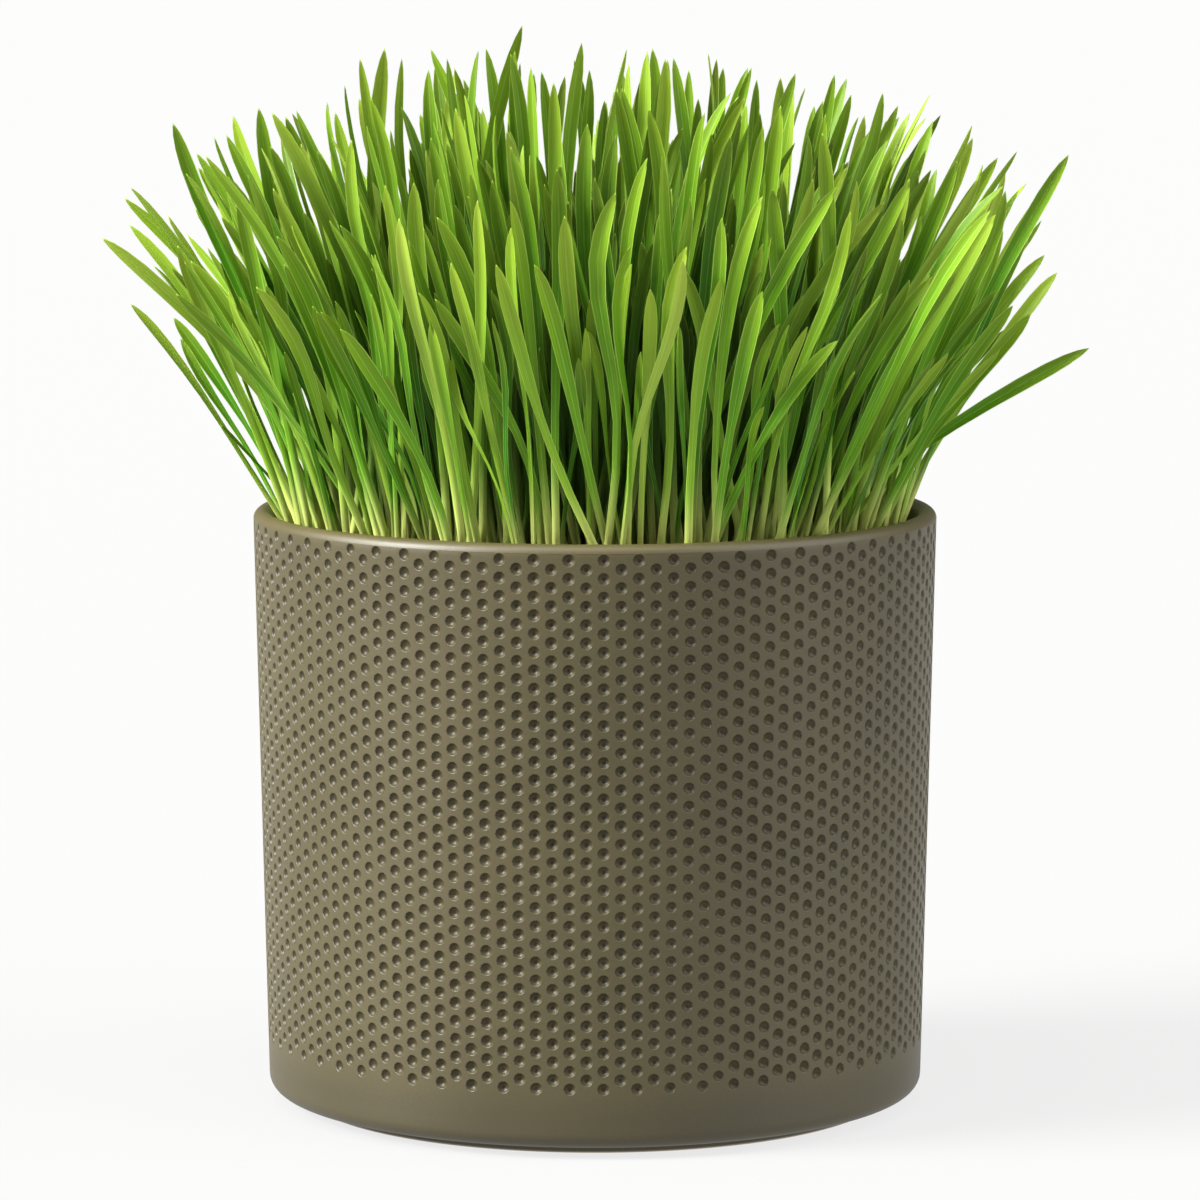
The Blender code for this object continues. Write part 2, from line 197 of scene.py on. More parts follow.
# A dimple's edge, its middle ring and its lowest point: how far out each is, and how deep
RING_SHARES = (1.0, 0.87, 0.0)
RING_DEPTHS = (0.0, 0.28, 1.0)
DIMPLE_STEEPNESS = 1.9  # the slope of the middle ring, as rise over run
DEPTH_CHANGE = (0.16, 0.06)  # slowly over the wall, and from one dimple to the next
RADIUS_CHANGE = (0.03, 0.02)
DIMPLE_SEED = 3
CELL_TURNS = (0, 46, 134, 180, 226, 314)  # degrees from a dimple's middle to its cell's corners
GLAZE = "#433c20"
# The glaze colour of the painted shade at a dimple's lowest point
GLAZE_PAINTED_SHADE = "#312a13"
# The glaze is painted lighter over the lip, as painted light from above, and is darker towards
# the foot. Each row has the height where its tone starts to change, the height where it ends, and
# how bright it is there.
PAINTED_LIP_LIGHT_AND_DARKER_FOOT = ((0.1535, 0.1560, 1.32), (0.0200, 0.0100, 0.78))
RAW_CLAY = "#a3937c"


def outer_radius(height):
    """The pot's outside radius at a height, without its lip, corner and dimples."""
    return RIM_RADIUS - WALL_TAPER * (POT_HEIGHT - height)


def inner_radius(height):
    return outer_radius(height) - WALL


def arc(centre, radius, start, end, steps):
    """Points on a circle in the (radius, height) plane, from one angle to another in degrees."""
    angles = np.radians(np.linspace(start, end, steps))
    return np.column_stack(
        (centre[0] + radius * np.cos(angles), centre[1] + radius * np.sin(angles))
    )


def zipped(outer, inner):
    """Triangles between two rings, given the angles of their points in turn order.

    It steps along whichever ring is behind, so each point is joined to its nearest ones.
    """
    faces, i, j = [], 0, 0
    n, m = len(outer), len(inner)
    while i < n or j < m:
        a, b = i % n, n + j % m
        next_outer = outer[(i + 1) % n] + 360 * ((i + 1) // n)
        next_inner = inner[(j + 1) % m] + 360 * ((j + 1) // m)
        if j == m or (i < n and next_outer <= next_inner):
            faces.append((a, (i + 1) % n, b))
            i += 1
        else:
            faces.append((a, n + (j + 1) % m, b))
            j += 1
    return np.array(faces)


def dimple_cells():
    """Angle, height and six lattice corners of every dimple's cell.

    The lattice has a row of points at each half pitch down, and a point between each two
    columns. Odd columns start half a pitch lower. A cell spans three rows of the lattice.
    """
    column = np.repeat(np.arange(COLUMNS), DIMPLES_HIGH)
    step = np.tile(np.arange(DIMPLES_HIGH), COLUMNS)
    odd = column % 2
    kept = (odd == 0) | (step < DIMPLES_HIGH - 1)
    column, step, odd = column[kept], step[kept], odd[kept]
    angle = (column + 0.5) * 2 * math.pi / COLUMNS
    height = TOP_DIMPLE - DIMPLE_PITCH * (step + odd / 2)
    row = 2 * step + odd
    left, right = column, (column + 1) % COLUMNS
    corners = np.stack(
        (
            (row + 1) * COLUMNS + right,
            row * COLUMNS + right,
            row * COLUMNS + left,
            (row + 1) * COLUMNS + left,
            (row + 2) * COLUMNS + left,
            (row + 2) * COLUMNS + right,
        ),
        axis=1,
    )
    return angle, height, corners


def dimpled_band():
    """Points, triangles, painted dimple shade and normals of the dimpled part of the wall.

    Each cell is its six corners, the dimple's edge, its middle ring and its lowest point. Depth
    and radius are multiplied by one plus a slow sum of waves and a little chance. The normals
    are level outside the dimples and on their edges, and lean in on the middle ring.
    """
    rng = np.random.default_rng(DIMPLE_SEED)
    angle, height, corners = dimple_cells()
    rows = 2 * DIMPLES_HIGH + 1
    levels = TOP_DIMPLE + DIMPLE_PITCH / 2 - DIMPLE_PITCH / 2 * np.arange(rows)
    levels[0] = DIMPLED_TOP
    lattice_angle = np.tile(np.arange(COLUMNS) * 2 * math.pi / COLUMNS, rows)
    lattice_height = np.repeat(levels, COLUMNS)
    drift = np.sin(3 * angle + 40 * height) * np.sin(2 * angle - 55 * height + 1)
    drift += 0.7 * np.sin(7 * angle + 90 * height + 2) * np.sin(5 * angle - 70 * height)
    count = len(angle)
    depth = DIMPLE_DEPTH * (1 + DEPTH_CHANGE[0] * drift + rng.normal(0, DEPTH_CHANGE[1], count))
    chance = rng.normal(0, RADIUS_CHANGE[1], count)
    radius = DIMPLE_RADIUS * (1 + RADIUS_CHANGE[0] * drift + chance)
    turn = np.arange(DIMPLE_SIDES) * 2 * math.pi / DIMPLE_SIDES
    shares = np.repeat(RING_SHARES, (DIMPLE_SIDES, DIMPLE_SIDES, 1))
    depths = np.repeat(RING_DEPTHS, (DIMPLE_SIDES, DIMPLE_SIDES, 1))
    turns = np.concatenate((turn, turn, (0.0,)))
    across = radius[:, None] * shares * np.cos(turns)
    up = radius[:, None] * shares * np.sin(turns)
    cell_height = height[:, None] + up
    cell_angle = angle[:, None] + across / outer_radius(height)[:, None]
    cell_sunk = depth[:, None] * depths
    all_angle = np.concatenate((lattice_angle, cell_angle.ravel()))
    all_height = np.concatenate((lattice_height, cell_height.ravel()))
    sunk = np.concatenate((np.zeros(rows * COLUMNS), cell_sunk.ravel()))
    lip_start = POT_HEIGHT - WALL / 2
    over = np.clip(all_height - lip_start, 0, None)
    away = outer_radius(all_height) - sunk - (WALL / 2 - np.sqrt((WALL / 2) ** 2 - over**2))
    points = np.column_stack((away * np.cos(all_angle), away * np.sin(all_angle), all_height))
    ring = zipped(np.array(CELL_TURNS), np.degrees(turn))
    n = DIMPLE_SIDES
    here, there = np.arange(n), (np.arange(n) + 1) % n
    first, second = 6 + here, 6 + there
    band = np.concatenate(
        (
            np.column_stack((first, second, n + second)),
            np.column_stack((first, n + second, n + first)),
            np.column_stack((n + first, n + second, np.full(n, 6 + 2 * n))),
        )
    )
    template = np.concatenate((ring, band))
    own = rows * COLUMNS + np.arange(count)[:, None] * (2 * n + 1) + np.arange(2 * n + 1)
    cells = np.concatenate((corners, own), axis=1)[:, template].reshape(-1, 3)
    odd = np.arange(1, COLUMNS, 2)
    plain = []
    for row in (0, rows - 2):
        a, b = row * COLUMNS + odd, row * COLUMNS + (odd + 1) % COLUMNS
        plain.append(np.column_stack((b, a, a + COLUMNS)))
        plain.append(np.column_stack((b, a + COLUMNS, b + COLUMNS)))
    # Painted shade: 0 on the wall and on the dimples' edges, growing with depth to 1 at their lowest
    # points.
    painted_dimple_shade = np.concatenate((np.zeros(rows * COLUMNS), np.tile(depths * (shares < 1), count)))
    steep = np.where((shares < 1) & (shares > 0), DIMPLE_STEEPNESS, 0.0)
    lean_across = np.concatenate((np.zeros(rows * COLUMNS), np.tile(-steep * np.cos(turns), count)))
    lean_up = np.concatenate((np.zeros(rows * COLUMNS), np.tile(-steep * np.sin(turns), count)))
    lean_up += np.clip(over / (WALL / 2), 0, 0.99)
    normals = np.column_stack(
        (
            np.cos(all_angle) - lean_across * np.sin(all_angle),
            np.sin(all_angle) + lean_across * np.cos(all_angle),
            lean_up - WALL_TAPER,
        )
    )
    normals /= np.linalg.norm(normals, axis=1, keepdims=True)
    return points, np.concatenate((cells, *plain)), painted_dimple_shade, normals


def plain_rings(outline, start):
    """Points and triangles of a turned outline of (radius, height), numbered from start.

    A fan of triangles to a point on the axis, level with the outline's end, closes it.
    """
    angle = np.arange(COLUMNS) * 2 * math.pi / COLUMNS
    circle = np.column_stack((np.cos(angle), np.sin(angle)))
    points = [np.column_stack((circle * r, np.full(COLUMNS, z))) for r, z in outline]
    here = start + np.arange(COLUMNS)
    there = start + (np.arange(COLUMNS) + 1) % COLUMNS
    faces = []
    for ring in range(len(outline) - 1):
        a, b = here + ring * COLUMNS, there + ring * COLUMNS
        faces.append(np.column_stack((b, a, a + COLUMNS)))
        faces.append(np.column_stack((b, a + COLUMNS, b + COLUMNS)))
    last = (len(outline) - 1) * COLUMNS
    middle = np.full(COLUMNS, start + last + COLUMNS)
    points.append(((0.0, 0.0, outline[-1][1]),))
    faces.append(np.column_stack((there + last, here + last, middle)))
    return np.concatenate(points), np.concatenate(faces)


def pot_surface():
    """The dimpled band, joined to the lip and inside above it and the foot below it."""
    points, faces, painted_dimple_shade, normals = dimpled_band()
    lip = (RIM_RADIUS - WALL / 2, POT_HEIGHT - WALL / 2)
    top_turn = math.degrees(math.asin((DIMPLED_TOP - lip[1]) / (WALL / 2)))
    inside_height = FLOOR_TOP + INNER_CORNER
    inside = (inner_radius(inside_height) - INNER_CORNER, inside_height)
    corner_height = FOOT_HEIGHT + OUTER_CORNER
    corner = (outer_radius(corner_height) - OUTER_CORNER, corner_height)
    down_inside = np.linspace(lip[1], inside_height, 12)[1:-1]
    above = np.concatenate(
        (
            arc(lip, WALL / 2, top_turn, 180, 14),
            np.column_stack((inner_radius(down_inside), down_inside)),
            arc(inside, INNER_CORNER, 0, -90, 7),
            ((FLAT_RING, FLOOR_TOP),),
        )
    )
    bottom = TOP_DIMPLE + DIMPLE_PITCH / 2 - DIMPLE_PITCH * DIMPLES_HIGH
    down_outside = np.linspace(bottom, corner_height, 5)[:-1]
    below = np.concatenate(
        (
            np.column_stack((outer_radius(down_outside), down_outside)),
            arc(corner, OUTER_CORNER, 0, -90, 9),
            ((FOOT_RADIUS + FOOT_BEVEL, FOOT_HEIGHT), (FOOT_RADIUS, FOOT_HEIGHT - FOOT_BEVEL)),
            ((FOOT_RADIUS, FOOT_BEVEL), (FOOT_RADIUS - FOOT_BEVEL, 0.0), (FLAT_RING, 0.0)),
        )
    )
    above_points, above_faces = plain_rings(above, len(points))
    below_points, below_faces = plain_rings(below, len(points) + len(above_points))
    return (
        np.concatenate((points, above_points, below_points)),
        np.concatenate((faces, above_faces[:, ::-1], below_faces)),
        np.concatenate((painted_dimple_shade, np.zeros(len(above_points) + len(below_points)))),
        normals,
    )


def glaze_material():
    """Matte olive glaze with a slow drift of tone and fine iron specks; bare clay on the foot."""
    material, tree, shader = new_material("olive_stoneware_glaze")
    place = add(tree, "TexCoord").outputs["Object"]
    height = add(tree, "SeparateXYZ", {0: place}).outputs["Z"]
    drift = add(tree, "TexNoise", {"Vector": place, "Scale": 22.0, "Detail": 3.0})
    grain = add(tree, "TexNoise", {"Vector": place, "Scale": 1500.0, "Detail": 2.0})
    # Painted shade in the dimples: darker glaze and less shine towards their lowest points.
    painted_dimple_shade = add(tree, "Attribute", attribute_name="painted_dimple_shade").outputs["Fac"]
    colour = mixed(tree, painted_dimple_shade, linear(GLAZE), linear(GLAZE_PAINTED_SHADE))
    value = ranged(tree, drift.outputs["Fac"], 0.3, 0.7, 0.92, 1.08)
    specks = ranged(tree, grain.outputs["Fac"], 0.25, 0.75, 0.90, 1.06)
    value = add(tree, "Math", {0: value, 1: specks}, operation="MULTIPLY").outputs[0]
    # Painted light on the top of the lip, and the glaze darker towards the foot.
    for start, end, brightness in PAINTED_LIP_LIGHT_AND_DARKER_FOOT:
        changed = ranged(tree, height, start, end, 1.0, brightness, eased=True)
        value = add(tree, "Math", {0: value, 1: changed}, operation="MULTIPLY").outputs[0]
    colour = add(tree, "HueSaturation", {"Color": colour, "Value": value}).outputs["Color"]
    bare = ranged(tree, height, 0.0006, 0.0001, 0.0, 1.0)
    bump = add(
        tree, "Bump", {"Height": grain.outputs["Fac"], "Strength": 0.12, "Distance": 0.0002}
    ).outputs["Normal"]
    feed(
        tree, shader,
        {"Base Color": mixed(tree, bare, colour, linear(RAW_CLAY)),
         "Roughness": ranged(tree, drift.outputs["Fac"], 0.3, 0.7, 0.45, 0.52),
         "Specular IOR Level": ranged(tree, painted_dimple_shade, 0.2, 1.0, 0.55, 0.22),
         "Normal": bump},
    )
    return material


pot_points, pot_faces, painted_dimple_shade, band_normals = pot_surface()
pot = mesh_object("stoneware_pot", pot_points, pot_faces, glaze_material())
store(pot, "painted_dimple_shade", painted_dimple_shade)
pot_normals = np.empty(3 * len(pot_points), dtype=np.float32)
pot.data.vertex_normals.foreach_get("vector", pot_normals)
pot_normals = pot_normals.reshape(-1, 3)
pot_normals[: len(band_normals)] = band_normals
pot.data.normals_split_custom_set_from_vertices(pot_normals)
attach(pot, "root")
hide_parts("pot")


# The soil fills the pot from its floor to the seed mat. It is dark, crumbly potting mix, and
# almost none of it shows.
SOIL_DARK = "#1d140d"
SOIL_LIGHT = "#4a3524"


def soil_material(name, dark, light):
    """Crumbs of two tones with a rough surface."""
    material, tree, shader = new_material(name)
    place = add(tree, "TexCoord").outputs["Object"]
    crumbs = add(tree, "TexNoise", {"Vector": place, "Scale": 380.0, "Detail": 5.0})
    colour = toned(tree, crumbs.outputs["Fac"], (0.35, 0.68), (dark, light))
    bump = add(
        tree, "Bump", {"Height": crumbs.outputs["Fac"], "Strength": 0.7, "Distance": 0.0012}
    ).outputs["Normal"]
    feed(
        tree, shader,
        {"Base Color": colour, "Roughness": 0.95, "Specular IOR Level": 0.2, "Normal": bump},
    )
    return material


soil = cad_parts["soil"]
soil.data.materials.clear()
soil.data.materials.append(soil_material("potting_soil", SOIL_DARK, SOIL_LIGHT))


# Where the blades stand. Those that stand out in the photograph are placed one by one, and a
# sunflower spiral with a seeded draw places the rest, each clear of its neighbours. This is the
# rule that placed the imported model's blades, so each blade here stands where a packed one does.
GAP = 0.0003  # between two plugs, and between a stalk and the lip
PLUG_TOP = 0.148
PLUG_RADIUS = 0.0840
TUFT_RINGS = ((1, 0.0), (6, 0.0245), (12, 0.0485), (18, 0.0725))
ROOT_DEPTH = 0.004
SITES = 440
SITE_RADIUS = 0.0790
CLUMPS = 100
CLUMPING = 0.42
FAN = 17.0  # how a blade leans away from its clump, in radians for each metre from its middle
SITE_MARGIN = 0.0014
LENGTH_CENTRE = 0.132
LENGTH_EDGE = 0.106
SHORTEST = 0.65
EDGE_LEAN = math.radians(19)
LEAN_SPREAD = math.radians(8)
FRONT_REACH = 0.104
BACK_REACH = 0.122
SIDE_REACH = 0.122
WIDTH_RANGE = (0.0034, 0.0045)
BOW_RANGE = (0.02, 0.20)
FACING = math.radians(-90)
FACE_SPREAD = math.radians(42)
STALK_WIDTH = 0.0020
STALK_THICKNESS = 0.0014
RIB_THICKNESS = 0.0009
CLEARANCE = 0.0004
ATTEMPTS = 24
DEPTH_STEP = 0.0015  # how far each second attempt slides a placed blade in depth
SITE_JITTER = 0.0010
MOST_BLADES = 4000
SEED = 11

# A blade's rings: how far along it each stands, and its half width as a share of the leaf's width
RING_PLACES = np.array((0.0, 0.38, 0.66, 0.90, 1.0))
RING_WIDTHS = np.array((0.0, 0.26, 0.45, 0.41, 0.0))

# Root across, root depth, tip across, tip height, tip depth, leaf width and bow, in millimetres.
# A negative depth is nearer the viewer. The bow is how far the middle stands inside the chord.
STANDING_OUT = (
    # Left edge
    (-67, -10, -129.5, 228, -22, 4.0, 11),
    (-71, 12, -123.5, 238.5, 20, 4.0, 12),
    (-80, -16, -113.5, 210.5, -34, 4.2, 2.5),
    (-75, 4, -110.5, 258, 0, 4.4, 4),
    (-77, -24, -109.5, 226, -44, 4.0, 1),
    (-68, 26, -104, 246.5, 40, 4.2, 9),
    (-67, 20, -88, 262, 14, 4.6, -1),
    (-66, -34, -91, 244.5, -40, 3.8, 0),
    (-73, -32, -93.5, 239, -52, 4.0, 0),
    (-64, 8, -85, 252, 4, 4.2, 4.5),
    (-61, 34, -76.5, 251.5, 44, 4.2, 5),
    (-47, 22, -73.5, 248.5, 26, 4.2, 8),
    (-55, 30, -68, 261, 36, 4.0, 4),
    (-52, 10, -61.5, 275, 6, 3.2, 3),
    (-56, 18, -55, 277.5, 20, 4.8, 3),
    # Back, over the middle
    (-50, 40, -50.5, 275, 44, 3.0, 2),
    (-17, 26, -43, 277.5, 30, 4.4, 7.5),
    (-39, 44, -36.5, 271.5, 52, 3.8, 2),
    (-31, 12, -30.5, 277, 14, 4.6, 2),
    (-23, 34, -28.5, 277.5, 40, 4.0, 3),
    (-32, 0, -19, 283.5, 4, 4.4, 7),
    (-18, 22, -16, 271, 24, 4.0, 2),
    (-12, 40, -14, 271.5, 46, 3.8, 3),
    (-4, 30, -5.5, 274.5, 34, 4.4, 3),
    (-7, 14, -1.5, 272, 12, 4.2, 2),
    (2, 46, 2.5, 264, 52, 3.8, 2),
    (6, 24, 7, 269, 22, 4.0, 2),
    (8, 52, 11.5, 267.5, 60, 4.0, 3),
    (17, 16, 15, 277.5, 18, 4.6, 3),
    (16, 38, 19, 274.5, 42, 4.2, 3),
    (24, 28, 24.5, 272, 30, 3.4, 2),
    (22, 4, 27, 264.5, 2, 3.8, 2),
    (33, 44, 33.5, 272.5, 48, 4.0, 2),
    (26, 22, 40, 272.5, 26, 4.2, 6),
    # Right edge
    (47, 32, 48.5, 270, 34, 4.6, 3),
    (50, 12, 52, 266.5, 14, 3.4, 2),
    (57, 30, 61.5, 262, 36, 4.0, 3),
    (50, 20, 67, 265.5, 22, 4.2, 6),
    (60, 12, 70.5, 260, 10, 4.4, 4),
    (66, 26, 77.5, 249, 34, 4.0, 3),
    (71, 8, 88.5, 258.5, 8, 4.2, 5),
    (72, 24, 89.5, 246, 34, 4.0, 3),
    (63, 16, 105.5, 249, 24, 4.4, 9),
    (68, 28, 106.5, 240, 44, 4.2, 6),
    (75, -2, 117.5, 240, -2, 4.2, 3.5),
    (70, 10, 118, 223.5, 14, 4.0, 3.5),
    (80, -6, 123, 216, -14, 4.2, 3.5),
    (66, -14, 130, 199, -28, 4.0, 13),
    (72, -20, 114.5, 208, -34, 4.2, 5),
    (70, -28, 103, 226.5, -44, 4.0, 6),
    # Front row
    (-52, -52, -83.5, 228.5, -76, 4.2, 3),
    (-36.5, -72, -67, 204, -102, 4.4, 5),
    (-38, -66, -47.5, 242.5, -78, 4.6, 0),
    (-50, -56, -55, 242, -68, 4.0, 2),
    (-15, -77, -42, 212, -107, 4.2, 8),
    (-24, -70, -41.5, 233.5, -90, 4.4, 7),
    (-26, -50, -36.5, 262, -62, 4.2, 5),
    (-38, -70, -21, 236, -90, 3.8, 1),
    (6, -77, -26, 221, -102, 4.0, -3),
    (5.5, -70, -16, 221, -104, 4.6, 1),
    (-10, -76, -10, 246, -96, 4.4, 2),
    (-2, -60, -2, 258, -74, 4.4, 2),
    (2, -76, 5.5, 240, -104, 4.8, 1),
    (13, -78, 11, 218.5, -108, 4.2, 3),
    (9, -72, 23, 222.5, -108, 4.2, 3),
    (17, -58, 14, 262, -76, 4.2, 2),
    (16, -64, 18, 236.5, -88, 4.2, 2),
    (41, -68, 23, 220, -96, 3.8, 1),
    (25, -77, 33, 217.5, -100, 4.4, 3.5),
    (28, -66, 35.5, 254.5, -84, 4.6, 4),
    (33, -72, 44, 239, -96, 4.2, 6),
    (30.5, -74, 44, 214, -100, 4.4, 2),
    (48, -64, 46.5, 241, -84, 4.6, 2),
    (28, -80, 64, 201, -107, 4.2, 5),
    (49, -68, 47, 217.5, -94, 4.4, 1),
    (46, -70, 75.5, 213.5, -92, 4.2, 5.5),
    (38, -60, 76, 237.5, -78, 4.2, 12),
    (60, -54, 59.5, 255.5, -62, 4.4, 2),
    (56, -56, 95, 219, -76, 4.4, 5.5),
)


def tuft_centres():
    """One tuft in the middle, with rings of tufts around it."""
    centres = []
    for count, radius in TUFT_RINGS:
        angle = 2 * math.pi * (np.arange(count) + 0.5) / count
        centres.append(np.column_stack((radius * np.cos(angle), radius * np.sin(angle))))
    return np.concatenate(centres)


def blade_points(blade, extra=0.0):
    """Three points around each ring of a blade: left edge, right edge and the rib behind them.

    The middle line is a quadratic curve from the root through the bend to the tip. Each ring
    lies across it, and extra makes the blade that much thicker and wider on all sides.
    """
    t = RING_PLACES[:, None]
    root, bend, tip = blade["root"], blade["bend"], blade["tip"]
    middle = (1 - t) ** 2 * root + 2 * t * (1 - t) * bend + t**2 * tip
    along = 2 * (1 - t) * (bend - root) + 2 * t * (tip - bend)
    along /= np.linalg.norm(along, axis=1, keepdims=True)
    face = np.array((math.cos(blade["facing"]), math.sin(blade["facing"]), 0.0))
    across = np.cross(along, face)
    across /= np.linalg.norm(across, axis=1, keepdims=True)
    out = np.cross(across, along)
    half = np.maximum(RING_WIDTHS * blade["width"], STALK_WIDTH / 2 * (t[:, 0] < 0.5))
    half = np.where(t[:, 0] < 0.5, half * blade["girth"], half)
    thick = np.where(t[:, 0] < 0.2, STALK_THICKNESS, RIB_THICKNESS) * blade["girth"]
    half, depth = (half + extra)[:, None], (thick / 2 + extra)[:, None]
    left = middle - across * half + out * depth
    right = middle + across * half + out * depth
    return np.stack((left, right, middle - out * depth), axis=1)


def blade_shell(blade, extra=0.0):
    """Points and faces of one closed blade."""
    rings = blade_points(blade, extra)[:-1]
    points = [tuple(p) for p in rings.reshape(-1, 3)] + [tuple(blade["tip"])]
    faces = [(2, 1, 0)]
    for ring in range(len(rings) - 1):
        for i in range(3):
            a, b = 3 * ring + i, 3 * ring + (i + 1) % 3
            faces.append((a, b, b + 3, a + 3))
    last = 3 * (len(rings) - 1)
    faces += [(last + i, last + (i + 1) % 3, last + 3) for i in range(3)]
    return points, faces


def bent_blade(root, tip, width, bow, bow_way, facing):
    """A blade whose middle is pushed off its chord by bow, along bow_way."""
    return {
        "root": root,
        "bend": (root + tip) / 2 + bow_way * bow,
        "tip": tip,
        "width": width,
        "facing": facing,
        "girth": 1.0,
    }


def seen_at(across, height, depth):
    """A point of the front view, on the upright plane through the axis, at its own depth."""
    on_plane = np.array((across, 0.0, height))
    return EYE + (on_plane - EYE) * (depth - EYE[1]) / -EYE[1]


def placed_blade(row, shift, rng):
    """A blade of STANDING_OUT, slid in depth by shift."""
    root_x, root_y, tip_x, tip_z, tip_y, width, bow = (value * 0.001 for value in row)
    root = seen_at(root_x, PLUG_TOP, root_y + shift)
    root[2] = PLUG_TOP - ROOT_DEPTH
    tip = seen_at(tip_x, tip_z, tip_y + 1.6 * shift)
    lean = np.array((np.sign(root_x - tip_x), 0.25, 0.0))
    facing = FACING + rng.normal(0, FACE_SPREAD / 2)
    return bent_blade(root, tip, width, 2 * bow, lean, facing)


def drawn_blade(site, away, calm, rng):
    """A blade at a site: it leans out with its distance from the pot's middle and its clump's.

    Calm, from 0 to 1, shrinks the draw, so that a later attempt keeps closer to its neighbours.
    """
    reach = np.hypot(*site)
    out = np.array((*site, 0.0)) / max(reach, 1e-6)
    side = np.array((-out[1], out[0], 0.0))
    share = reach / SITE_RADIUS
    spread = LEAN_SPREAD * (1 - 0.8 * calm)
    lean = EDGE_LEAN * share**1.4 + rng.normal(0, spread)
    sway = rng.normal(0, spread)
    length = LENGTH_CENTRE + (LENGTH_EDGE - LENGTH_CENTRE) * share**2
    length *= SHORTEST + (1 - SHORTEST) * rng.uniform() ** 0.7
    way = out * math.sin(lean) + side * math.sin(sway)
    way += np.array((*(FAN * away), math.cos(lean)))
    root = np.array((*site, PLUG_TOP - ROOT_DEPTH))
    tip = root + way * (length + ROOT_DEPTH)
    tip[0] = min(max(tip[0], -SIDE_REACH), SIDE_REACH)
    tip[1] = min(max(tip[1], -FRONT_REACH), BACK_REACH)
    turn = rng.uniform(0, 2 * math.pi)
    loose = np.array((math.cos(turn), math.sin(turn), 0.0))
    bow_way = -out * share + loose * (1 - share)
    facing = FACING + rng.normal(0, FACE_SPREAD)
    width = rng.uniform(*WIDTH_RANGE)
    bow = rng.uniform(*BOW_RANGE) * length
    return bent_blade(root, tip, width, bow, bow_way, facing)


def clears_lip(blade):
    """Whether the stalk stays inside the lip until it is above it."""
    t = np.linspace(0, 0.4, 21)[:, None]
    root, bend, tip = blade["root"], blade["bend"], blade["tip"]
    middle = (1 - t) ** 2 * root + 2 * t * (1 - t) * bend + t**2 * tip
    inside = inner_radius(POT_HEIGHT) - STALK_WIDTH / 2 - GAP
    low = middle[:, 2] < POT_HEIGHT + GAP
    return np.all(np.hypot(middle[low, 0], middle[low, 1]) < inside)


class Standing:
    """The blades that stand already, with their boxes in one array for a quick first test."""

    def __init__(self):
        self.blades = []
        self.trees = []
        self.boxes = np.empty((MOST_BLADES, 6))

    def clears(self, blade):
        """Whether a blade, made fatter by the clearance, touches none of them."""
        points, faces = blade_shell(blade, CLEARANCE)
        low, high = np.min(points, axis=0), np.max(points, axis=0)
        boxes = self.boxes[: len(self.blades)]
        near = np.all(low < boxes[:, 3:], axis=1) & np.all(high > boxes[:, :3], axis=1)
        tree = BVHTree.FromPolygons(points, faces)
        return not any(tree.overlap(self.trees[i]) for i in np.flatnonzero(near))

    def add(self, blade, tuft):
        points, faces = blade_shell(blade)
        blade["tuft"] = tuft
        low, high = np.min(points, axis=0), np.max(points, axis=0)
        self.boxes[len(self.blades)] = (*low, *high)
        self.trees.append(BVHTree.FromPolygons(points, faces))
        self.blades.append(blade)


def tuft_of(blade, centres):
    """The tuft that a blade grows in, and how far its stalk stands inside that tuft's plug."""
    root, bend = blade["root"], blade["bend"]
    emerging = root + (bend - root) * ROOT_DEPTH / (bend[2] - root[2])
    first, inside = None, math.inf
    for point in (root, emerging):
        away = np.linalg.norm(centres - point[:2], axis=1)
        if first is None:
            first = np.argmin(away)
        for other in np.flatnonzero(np.arange(len(centres)) != first):
            between = np.linalg.norm(centres[other] - centres[first])
            inside = min(inside, (away[other] ** 2 - away[first] ** 2) / (2 * between))
    return first, inside


def spiral_sites(count, turn):
    """Even places over the plugs: each a golden angle further round than the one before."""
    golden = math.pi * (3 - math.sqrt(5))
    k = np.arange(count)
    radius, angle = SITE_RADIUS * np.sqrt((k + 0.5) / count), turn + k * golden
    return np.column_stack((radius * np.cos(angle), radius * np.sin(angle)))


def clumped_sites(count, turn):
    """Even places, each drawn in towards the middle of its clump, and how far off it they were."""
    places, middles = spiral_sites(count, turn), spiral_sites(CLUMPS, 1.0)
    apart = np.linalg.norm(places[:, None] - middles, axis=2)
    nearest = middles[np.argmin(apart, axis=1)]
    away = places - nearest
    return zip(nearest + (1 - CLUMPING) * away, away)


def grow(tries, centres, standing):
    """Stands the first blade of tries that has room, if any has."""
    for blade in tries:
        tuft, inside = tuft_of(blade, centres)
        if inside > SITE_MARGIN and clears_lip(blade) and standing.clears(blade):
            standing.add(blade, tuft)
            return


def placed_tries(row, rng):
    """A blade of STANDING_OUT at its own depth, then slid further and further from it."""
    for attempt in range(ATTEMPTS):
        shift = DEPTH_STEP * ((attempt + 1) // 2) * (-1) ** attempt
        yield placed_blade(row, shift, rng)


def drawn_tries(site, away, draw, attempts, rng):
    """Blades drawn near a site, each calmer than the one before."""
    for attempt in range(attempts):
        yield draw(site + rng.normal(0, SITE_JITTER, 2), away, attempt / attempts, rng)


def grow_blades(centres):
    """All blades: those that stand out first, then one for each site that has room."""
    rng = np.random.default_rng(SEED)
    standing = Standing()
    for row in STANDING_OUT:
        grow(placed_tries(row, rng), centres, standing)
    for site, away in clumped_sites(SITES, 0):
        grow(drawn_tries(site, away, drawn_blade, ATTEMPTS, rng), centres, standing)
    return standing


centres = tuft_centres()
standing = grow_blades(centres)
packed_count = len(standing.blades)


